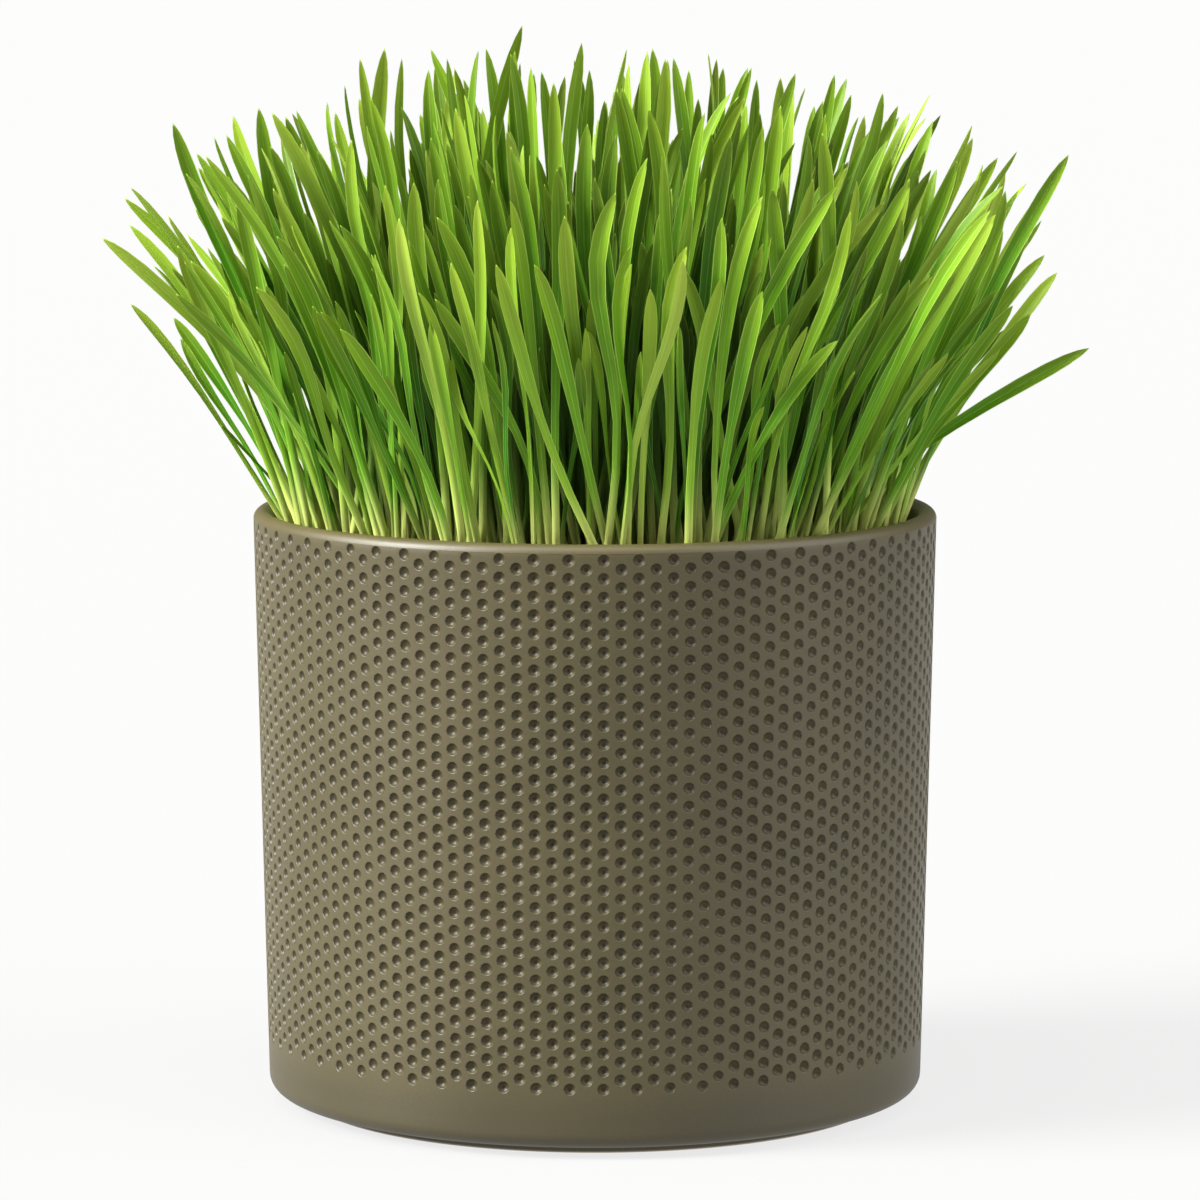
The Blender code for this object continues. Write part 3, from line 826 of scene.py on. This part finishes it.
# The undergrowth: shorter, narrower seedlings that came up late, in the room that is left between
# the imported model's blades. Those at the back are a little taller.
FILL_SITES = 1500
FILL_ATTEMPTS = 10
FILL_TURN = 0.7
FILL_HEIGHTS = (0.55, 0.92)
BACK_TALLER = 0.10
FILL_WIDTHS = (0.62, 0.90)
FILL_GIRTHS = (0.58, 0.80)


def fill_blade(site, away, calm, rng):
    """A blade of the undergrowth: as a drawn blade, but shorter and narrower."""
    blade = drawn_blade(site, away, calm, rng)
    share = rng.uniform(*FILL_HEIGHTS) + BACK_TALLER * (site[1] > 0)
    root = blade["root"]
    blade["bend"] = root + (blade["bend"] - root) * share
    blade["tip"] = root + (blade["tip"] - root) * share
    blade["width"] *= rng.uniform(*FILL_WIDTHS)
    blade["girth"] = rng.uniform(*FILL_GIRTHS)
    return blade


rng = np.random.default_rng(SEED + 1)
for site, away in clumped_sites(FILL_SITES, FILL_TURN):
    grow(drawn_tries(site, away, fill_blade, FILL_ATTEMPTS, rng), centres, standing)
blades = standing.blades


# The grass: each leaf is a pale, rolled stalk that opens into a thin blade, folded along its
# rib, widest near its top and ending in a short point. The blades twist a little.
LEAF_THICKNESS = 0.00034
FOLD = 0.50
FOLD_CURVE = 1.15  # the power of the distance from the rib by which the fold rises
TWIST_SPREAD = math.radians(40)
TWIST_MIDDLE = 0.6  # how far along a leaf its twist leaves it as it was
WAVE = 0.0011
SHEATH = 0.012  # how far up the rolled stalk goes before the leaf starts to open
UNFURLING = 0.042
OPENS_AT = 0.25  # how far along a leaf starts to flatten, and over how much of it
OPENS_OVER = 0.4
STALK_END = 0.66  # up to here a leaf is never narrower than its stalk
ALONG = np.array((0, 0.15, 0.30, 0.43, 0.54, 0.64, 0.74, 0.83, 0.90, 0.945, 0.975, 0.992))
HALF_WIDTHS = np.array((0, 0.1, 0.19, 0.225, 0.28, 0.35, 0.41, 0.455, 0.44, 0.36, 0.23, 0.09))
# Round a leaf: left edge to right edge over the front, then the rib at the back
SECTION = np.array((-1.0, -0.5, 0.0, 0.5, 1.0, 0.0))
SECTION_SIDE = np.array((0.0, 0.87, 1.0, 0.87, 0.0, -1.0))
EDGE_POINTS = (0, 4)
GREENS = ("#205506", "#3b780c", "#5e9516", "#82aa2b", "#a2bd4a")
# The pale rib's own colour, also painted on each leaf's edges as painted light through them.
RIB_AND_EDGE_LIGHT = "#c6de70"
STALK = "#d4da7c"
TIP = "#a09a2c"
# Painted shade: leaves turn towards this dark green, by up to this share, low in the stand's middle
PAINTED_SHADE_GREEN = "#28470a"  # low among the others
PAINTED_SHADE_SHARE = 0.92
STAND_EDGE = SITE_RADIUS - 0.001  # the edge of the stand on the mat, and how it widens upward
STAND_SLOPE = 0.30
PAINTED_SHADE_DEPTH = 0.026
PAINTED_SHADE_HEIGHT = 0.100
THROUGH_SHARE = 0.11
TONE_SPREAD = (2.2, 2.6)  # the two powers of the beta draw of the leaves' tones
OVERTOPPING_TONE = 0.22  # the least tone of the leaves that stand above the undergrowth
# Painted shade: tones darker in the middle of the stand than at its edge, and where they change,
# as shares of the radius
UNDERGROWTH_PAINTED_SHADE_TONE = (0.35, 0.85)
UNDERGROWTH_SPAN = (0.5, 0.9)
PAINTED_SHADE_TONE_SHIFT = (-0.14, 0.02)
SHIFT_SPAN = (0.4, 0.95)


def leaf_points(blade, twist, sway):
    """Six points round each ring of a leaf, then its tip.

    A point is the middle line, plus across times the half width, plus out times the sum of the
    fold, which grows with the distance from the rib, and half the thickness.
    """
    t = ALONG[:, None]
    root, bend, tip = blade["root"], blade["bend"], blade["tip"]
    middle = (1 - t) ** 2 * root + 2 * t * (1 - t) * bend + t**2 * tip
    along = (1 - t) * (bend - root) + t * (tip - bend)
    along /= np.linalg.norm(along, axis=1, keepdims=True)
    middle = middle + WAVE * np.sin(math.pi * t * (1 + t)) * sway
    facing = blade["facing"] + twist * (ALONG - TWIST_MIDDLE)
    face = np.column_stack((np.cos(facing), np.sin(facing), np.zeros(len(facing))))
    across = np.cross(along, face)
    across /= np.linalg.norm(across, axis=1, keepdims=True)
    out = np.cross(across, along)
    opened = np.clip((ALONG - OPENS_AT) / OPENS_OVER, 0, 1)
    opened = opened * opened * (3 - 2 * opened)
    unfurled = np.clip((ALONG * np.linalg.norm(tip - root) - SHEATH) / UNFURLING, 0, 1)
    half = HALF_WIDTHS * blade["width"] * unfurled
    least = STALK_WIDTH / 2 * blade["girth"]
    half = np.where(ALONG < STALK_END, np.maximum(half, least), half)
    stalk = STALK_THICKNESS * blade["girth"]
    thick = stalk + (LEAF_THICKNESS - stalk) * opened
    fold = FOLD * half * opened
    rise = fold[:, None] * np.abs(SECTION) ** FOLD_CURVE + thick[:, None] / 2 * SECTION_SIDE
    rings = middle[:, None] + across[:, None] * SECTION[None, :, None] * half[:, None, None]
    rings = rings + out[:, None] * rise[:, :, None]
    return np.concatenate((rings.reshape(-1, 3), tip[None]))


def leaf_template():
    """Faces of one leaf's sides, tip and root, and where each point is across it and along it."""
    n, rings = len(SECTION), len(ALONG)
    quads = []
    i = np.arange(n)
    j = (i + 1) % n
    for ring in range(rings - 1):
        a, b = ring * n + i, ring * n + j
        quads.append(np.column_stack((a, b, b + n, a + n)))
    quads = np.concatenate(quads)
    last = (rings - 1) * n
    fan = np.column_stack((last + i, last + j, np.full(n, rings * n)))
    cross = np.concatenate((np.tile((SECTION + 1) / 2, rings), (0.5,)))
    along = np.concatenate((np.repeat(ALONG, n), (1.0,)))
    return quads, fan, i[::-1], cross, along


def leaf_material():
    """Pale stalk to green blade, with a light rib, painted light on its edges, fine lengthwise veins,
    a tone for each, and painted shade low among the leaves.
    """
    material, tree, shader = new_material("wheatgrass_leaf")
    uv = add(tree, "UVMap", uv_map="leaf").outputs["UV"]
    split = add(tree, "SeparateXYZ", {0: uv})
    cross, along = split.outputs["X"], split.outputs["Y"]
    tone = add(tree, "Attribute", attribute_name="tone").outputs["Fac"]
    green = toned(tree, tone, np.linspace(0, 1, len(GREENS)), GREENS)
    stretched = add(
        tree, "CombineXYZ",
        {axis: add(tree, "Math", {0: value, 1: rate}, operation="MULTIPLY").outputs[0]
         for axis, value, rate in (("X", cross, 34.0), ("Y", along, 2.2), ("Z", tone, 90.0))},
    ).outputs[0]
    streaks = add(tree, "TexNoise", {"Vector": stretched, "Scale": 1.0, "Detail": 2.0})
    streaks = streaks.outputs["Fac"]
    value = ranged(tree, streaks, 0.3, 0.7, 0.74, 1.22)
    green = add(tree, "HueSaturation", {"Color": green, "Value": value}).outputs["Color"]
    from_rib = add(tree, "Math", {0: cross, 1: 0.5}, operation="SUBTRACT").outputs[0]
    from_rib = add(tree, "Math", {0: from_rib}, operation="ABSOLUTE").outputs[0]
    rib = ranged(tree, from_rib, 0.01, 0.06, 0.24, 0.0)
    # Painted light: each leaf's edges are lightened towards the rib colour, as light through them.
    edge = ranged(tree, from_rib, 0.43, 0.49, 0.0, 0.60)
    rib = add(tree, "Math", {0: rib, 1: edge}, operation="MAXIMUM").outputs[0]
    green = mixed(tree, rib, green, linear(RIB_AND_EDGE_LIGHT))
    green = mixed(tree, ranged(tree, along, 0.70, 1.0, 0.0, 0.26), green, linear(TIP))
    pale = ranged(tree, along, 0.06, 0.36, 0.95, 0.0, eased=True)
    colour = mixed(tree, pale, green, linear(STALK))
    # Painted shade, deepest low in the middle of the stand.
    painted_shade = add(tree, "Attribute", attribute_name="painted_leaf_shade").outputs["Fac"]
    colour = mixed(tree, painted_shade, colour, linear(PAINTED_SHADE_GREEN))
    bump = add(
        tree, "Bump", {"Height": streaks, "Strength": 0.25, "Distance": 0.0003}
    ).outputs["Normal"]
    feed(
        tree, shader,
        {"Base Color": colour, "Roughness": 0.42, "Specular IOR Level": 0.17, "Normal": bump},
    )
    through = add(tree, "BsdfTranslucent", {"Color": colour, "Normal": bump})
    leaf_shader = add(
        tree, "MixShader", {0: THROUGH_SHARE, 1: shader.outputs[0], 2: through.outputs[0]}
    )
    feed(tree, tree.nodes["Material Output"], {"Surface": leaf_shader.outputs[0]})
    return material


leaf = leaf_material()
quads, fan, root_ring, leaf_cross, leaf_along = leaf_template()
leaf_size = len(leaf_cross)
twist_rng = np.random.default_rng(SEED + 2)
twists = twist_rng.normal(0, TWIST_SPREAD, len(blades))
sways = twist_rng.normal(0, 1, (len(blades), 3)) * (1, 1, 0)
tones = twist_rng.beta(*TONE_SPREAD, len(blades))
tones[:packed_count] = OVERTOPPING_TONE + (1 - OVERTOPPING_TONE) * tones[:packed_count]
outward = np.array([np.hypot(*blade["root"][:2]) for blade in blades]) / SITE_RADIUS
# Painted shade: the undergrowth, and then every leaf, darker towards the middle of the stand.
tones[packed_count:] *= np.interp(outward[packed_count:], UNDERGROWTH_SPAN, UNDERGROWTH_PAINTED_SHADE_TONE)
tones = np.clip(tones + np.interp(outward, SHIFT_SPAN, PAINTED_SHADE_TONE_SHIFT), 0, 1)


def painted_leaf_shade(points):
    """How deep each point is among the leaves, which sets its painted shade, from 0 outside to 1 low
    in the middle.

    It is the distance inside the sloping edge of the stand, over PAINTED_SHADE_DEPTH, times 1.3
    less the height above the mat, over PAINTED_SHADE_HEIGHT, each held between 0 and 1 and eased.
    """
    above = points[:, 2] - PLUG_TOP
    inside = STAND_EDGE + STAND_SLOPE * above - np.hypot(points[:, 0], points[:, 1])
    sideways = np.clip(inside / PAINTED_SHADE_DEPTH, 0, 1)
    down = np.clip(1.30 - above / PAINTED_SHADE_HEIGHT, 0, 1)
    return sideways**2 * (3 - 2 * sideways) * down**2 * (3 - 2 * down)


def make_tuft(index):
    """One tuft of leaves, in one mesh, sharp along each leaf's two edges."""
    mine = [i for i, blade in enumerate(blades) if blade["tuft"] == index]
    points = np.concatenate([leaf_points(blades[i], twists[i], sways[i]) for i in mine])
    starts = np.arange(len(mine))[:, None, None] * leaf_size
    all_quads = (quads[None] + starts).reshape(-1, 4)
    all_fans = (fan[None] + starts).reshape(-1, 3)
    bottoms = (root_ring[None] + starts[:, 0]).reshape(-1, len(root_ring))
    faces = [*all_quads.tolist(), *all_fans.tolist(), *bottoms.tolist()]
    obj = mesh_object(f"grass_{index + 1:02d}", points, faces, leaf)
    store(obj, "tone", np.repeat(tones[mine], leaf_size))
    # Painted shade for each point, by how deep it stands among the leaves.
    store(obj, "painted_leaf_shade", PAINTED_SHADE_SHARE * painted_leaf_shade(points))
    corner_point = np.empty(len(obj.data.loops), dtype=np.int32)
    obj.data.loops.foreach_get("vertex_index", corner_point)
    uv = np.column_stack((leaf_cross, leaf_along))[corner_point % leaf_size]
    layer = obj.data.uv_layers.new(name="leaf")
    layer.uv.foreach_set("vector", uv.astype(np.float32).ravel())
    ends = np.empty(2 * len(obj.data.edges), dtype=np.int32)
    obj.data.edges.foreach_get("vertices", ends)
    within = ends.reshape(-1, 2) % leaf_size
    lengthwise = np.abs(within[:, 0] - within[:, 1]) == len(SECTION)
    sharp = lengthwise & np.isin(within[:, 0] % len(SECTION), EDGE_POINTS)
    edge = obj.data.attributes.get("sharp_edge") or obj.data.attributes.new(
        "sharp_edge", "BOOLEAN", "EDGE"
    )
    edge.data.foreach_set("value", sharp)
    return obj


for index in range(len(centres)):
    grass = make_tuft(index)
    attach(grass, "root")
    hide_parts(f"tuft_{index + 1:02d}")


# The seed mat: the tops of the plugs, where swollen grains, husks and fine roots lie matted in
# soil. Its surface is lumpy and dark brown, with paler husks.
MAT_DARK = "#20170f"
MAT_LIGHT = "#5c4530"
MAT_LUMPS = 0.0007
MAT_WAVES = 9
MAT_WAVELENGTHS = (0.0035, 0.011)
MAT_SEED = 8
MAT_SKIRT = 0.008  # how far a plug's side reaches down
MAT_SIDES = 60
MAT_RINGS = np.array((1.0, 1.0, 0.96, 0.88, 0.78, 0.67, 0.56, 0.45, 0.34, 0.23, 0.12))


def mat_height(x, y):
    """Lumps of a few millimetres: a sum of plane waves in seeded directions."""
    lumps = np.random.default_rng(MAT_SEED)
    total = np.zeros_like(x)
    for _ in range(MAT_WAVES):
        turn, phase = lumps.uniform(0, 2 * math.pi, 2)
        rate = 2 * math.pi / lumps.uniform(*MAT_WAVELENGTHS)
        total += np.sin(rate * (x * math.cos(turn) + y * math.sin(turn)) + phase)
    return PLUG_TOP + MAT_LUMPS * total / math.sqrt(MAT_WAVES)


def clipped(outline, point, normal):
    """The part of a convex outline that lies behind the line through point across normal."""
    kept = []
    for a, b in zip(outline, np.roll(outline, -1, axis=0)):
        da, db = np.dot(a - point, normal), np.dot(b - point, normal)
        if da <= 0:
            kept.append(a)
        if da * db < 0:
            kept.append(a + (b - a) * da / (da - db))
    return np.array(kept)


def plug_outline(index):
    """The part of the pot's mouth that is nearer to this tuft than to any other, less a gap."""
    angles = np.radians(np.arange(0, 360, 6))
    outline = PLUG_RADIUS * np.column_stack((np.cos(angles), np.sin(angles)))
    for other in np.delete(centres, index, axis=0):
        away = (other - centres[index]) / np.linalg.norm(other - centres[index])
        outline = clipped(outline, (other + centres[index]) / 2 - away * GAP / 2, away)
    return outline


def make_mat(index, material):
    """A plug: its outline, walked in even steps, carried in to the middle over the lumps."""
    outline = plug_outline(index)
    closed = np.concatenate((outline, outline[:1]))
    steps = np.concatenate(((0,), np.cumsum(np.linalg.norm(np.diff(closed, axis=0), axis=1))))
    at = np.linspace(0, steps[-1], MAT_SIDES, endpoint=False)
    around = np.column_stack([np.interp(at, steps, closed[:, k]) for k in (0, 1)])
    middle = around.mean(axis=0)
    flat = middle + MAT_RINGS[:, None, None] * (around - middle)
    height = mat_height(flat[..., 0], flat[..., 1])
    height[0] = PLUG_TOP - MAT_SKIRT
    points = np.dstack((flat, height)).reshape(-1, 3)
    points = np.concatenate((points, ((*middle, PLUG_TOP),)))
    i = np.arange(MAT_SIDES)
    j = (i + 1) % MAT_SIDES
    faces = []
    for ring in range(len(MAT_RINGS) - 1):
        a, b = ring * MAT_SIDES + i, ring * MAT_SIDES + j
        faces += np.column_stack((a, b, b + MAT_SIDES, a + MAT_SIDES)).tolist()
    last = (len(MAT_RINGS) - 1) * MAT_SIDES
    faces += np.column_stack((last + i, last + j, np.full(MAT_SIDES, len(points) - 1))).tolist()
    faces.append(i[::-1].tolist())
    return mesh_object(f"seed_mat_{index + 1:02d}", points, faces, material)


mat_material = soil_material("seed_mat", MAT_DARK, MAT_LIGHT)
for index in range(len(centres)):
    mat = make_mat(index, mat_material)
    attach(mat, "root")
    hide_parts(f"tuft_{index + 1:02d}")


# Wheat grains, half sunk in the mat: plump, tan, each with a crease along it. The seedlings
# sprouted from such grains, and they show as brown bits between the stalks.
GRAINS = 1500
GRAIN_SIZE = np.array((0.0031, 0.0016, 0.0014))
GRAIN_COLOURS = ("#644a29", "#8a6b3b", "#ab8d58")
GRAIN_ROUND = 8
GRAIN_LONG = 6
GRAIN_END = 70  # degrees from a grain's middle to its cut ends, seen as a ball
GRAIN_BLUNT = 0.6  # the power that fills out its ends
GRAIN_CREASE = 0.62
GRAIN_REACH = 0.0815
GRAIN_LIFT = 0.0002
GRAIN_TILT = 0.25
GRAIN_SIZES = (0.85, 1.12)
GRAIN_SEED = 21


def grain_shape():
    """Points of one grain along X: a ball drawn out, with a crease along its top."""
    long = np.radians(np.linspace(-GRAIN_END, GRAIN_END, GRAIN_LONG))
    turn = np.arange(GRAIN_ROUND) * 2 * math.pi / GRAIN_ROUND
    x = np.repeat(np.sin(long) / math.sin(math.radians(GRAIN_END)), GRAIN_ROUND)
    r = np.repeat(np.cos(long) ** GRAIN_BLUNT, GRAIN_ROUND)
    crease = np.where(np.arange(GRAIN_ROUND) == GRAIN_ROUND // 4, GRAIN_CREASE, 1.0)
    y = r * np.tile(np.cos(turn), GRAIN_LONG)
    z = r * np.tile(np.sin(turn) * crease, GRAIN_LONG)
    i = np.arange(GRAIN_ROUND)
    j = (i + 1) % GRAIN_ROUND
    faces = []
    for ring in range(GRAIN_LONG - 1):
        a, b = ring * GRAIN_ROUND + i, ring * GRAIN_ROUND + j
        faces += np.column_stack((a, b, b + GRAIN_ROUND, a + GRAIN_ROUND)).tolist()
    faces.append(i[::-1].tolist())
    faces.append((i + (GRAIN_LONG - 1) * GRAIN_ROUND).tolist())
    return np.column_stack((x, y, z)), faces


def scattered(shape, places, turns, tilts, sizes):
    """Copies of a shape, each scaled, tilted about Y, turned about Z and set in its place."""
    p = shape[None] * sizes[:, None]
    ct, st = np.cos(tilts)[:, None], np.sin(tilts)[:, None]
    x, z = p[..., 0] * ct + p[..., 2] * st, p[..., 2] * ct - p[..., 0] * st
    cz, sz = np.cos(turns)[:, None], np.sin(turns)[:, None]
    turned = np.stack((x * cz - p[..., 1] * sz, x * sz + p[..., 1] * cz, z), axis=2)
    return (turned + places[:, None]).reshape(-1, 3)


def grain_material():
    """Mottled tan husk, with a tone for each grain."""
    material, tree, shader = new_material("wheat_grain")
    tone = add(tree, "Attribute", attribute_name="tone").outputs["Fac"]
    husk = toned(tree, tone, (0.0, 0.5, 1.0), GRAIN_COLOURS)
    place = add(tree, "TexCoord").outputs["Object"]
    mottle = add(tree, "TexNoise", {"Vector": place, "Scale": 900.0, "Detail": 3.0})
    value = ranged(tree, mottle.outputs["Fac"], 0.3, 0.7, 0.72, 1.15)
    colour = add(tree, "HueSaturation", {"Color": husk, "Value": value}).outputs["Color"]
    bump = add(
        tree, "Bump", {"Height": mottle.outputs["Fac"], "Strength": 0.4, "Distance": 0.0003}
    ).outputs["Normal"]
    feed(tree, shader, {"Base Color": colour, "Roughness": 0.6, "Normal": bump})
    return material


rng = np.random.default_rng(GRAIN_SEED)
reach = GRAIN_REACH * np.sqrt(rng.uniform(size=GRAINS))
turn = rng.uniform(0, 2 * math.pi, GRAINS)
x, y = reach * np.cos(turn), reach * np.sin(turn)
places = np.column_stack((x, y, mat_height(x, y) + GRAIN_LIFT))
shape, shape_faces = grain_shape()
points = scattered(
    shape, places, rng.uniform(0, 2 * math.pi, GRAINS), rng.normal(0, GRAIN_TILT, GRAINS),
    GRAIN_SIZE * rng.uniform(*GRAIN_SIZES, (GRAINS, 1)),
)
faces = [[v + k * len(shape) for v in face] for k in range(GRAINS) for face in shape_faces]
grains = mesh_object("wheat_grains", points, faces, grain_material())
store(grains, "tone", np.repeat(rng.uniform(0, 1, GRAINS), len(shape)))
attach(grains, "root")
